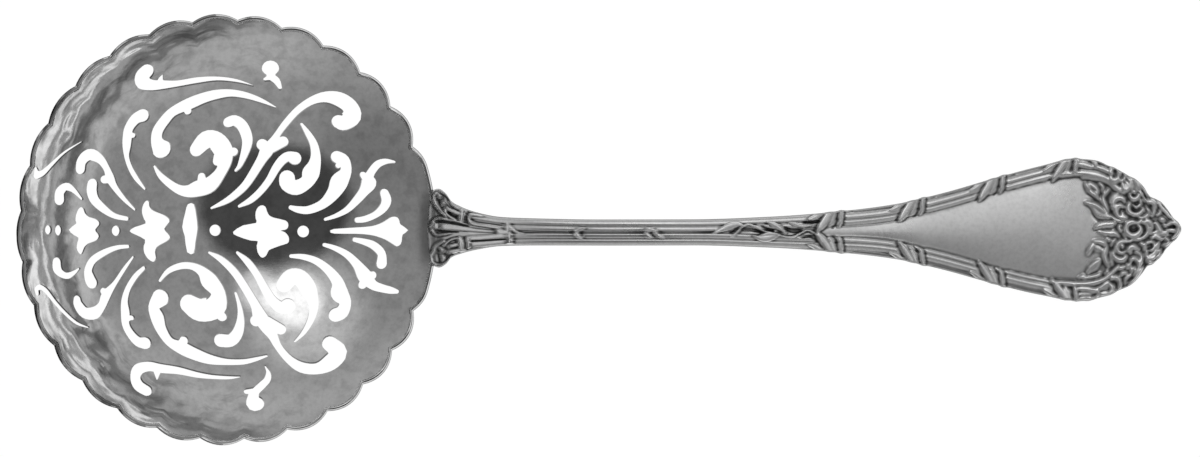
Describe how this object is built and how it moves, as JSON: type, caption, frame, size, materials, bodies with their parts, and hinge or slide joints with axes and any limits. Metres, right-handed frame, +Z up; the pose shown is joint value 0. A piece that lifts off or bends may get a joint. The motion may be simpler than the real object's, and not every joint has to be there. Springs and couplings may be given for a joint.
{
  "type": "pierced serving spoon",
  "caption": "Pierced serving spoon with a round scalloped bowl, scrolled piercings and a reeded handle bound with ribbon.",
  "frame": {"origin": "middle of the spoon's plan box, at the height of the surface that it lies on", "axes": "+X along the spoon towards the end of the handle, +Z up out of the bowl's hollow, as the spoon lies on a table"},
  "size_m": [0.2219, 0.082, 0.0267],
  "materials": {
    "bowl_silver": "polished silver with fine wear and darker streaks",
    "handle_silver": "polished silver, darkened in the hollows of the relief"
  },
  "bodies": {
    "root": {"pierced_bowl": "bowl_silver", "handle": "handle_silver"}
  },
  "joints": []
}
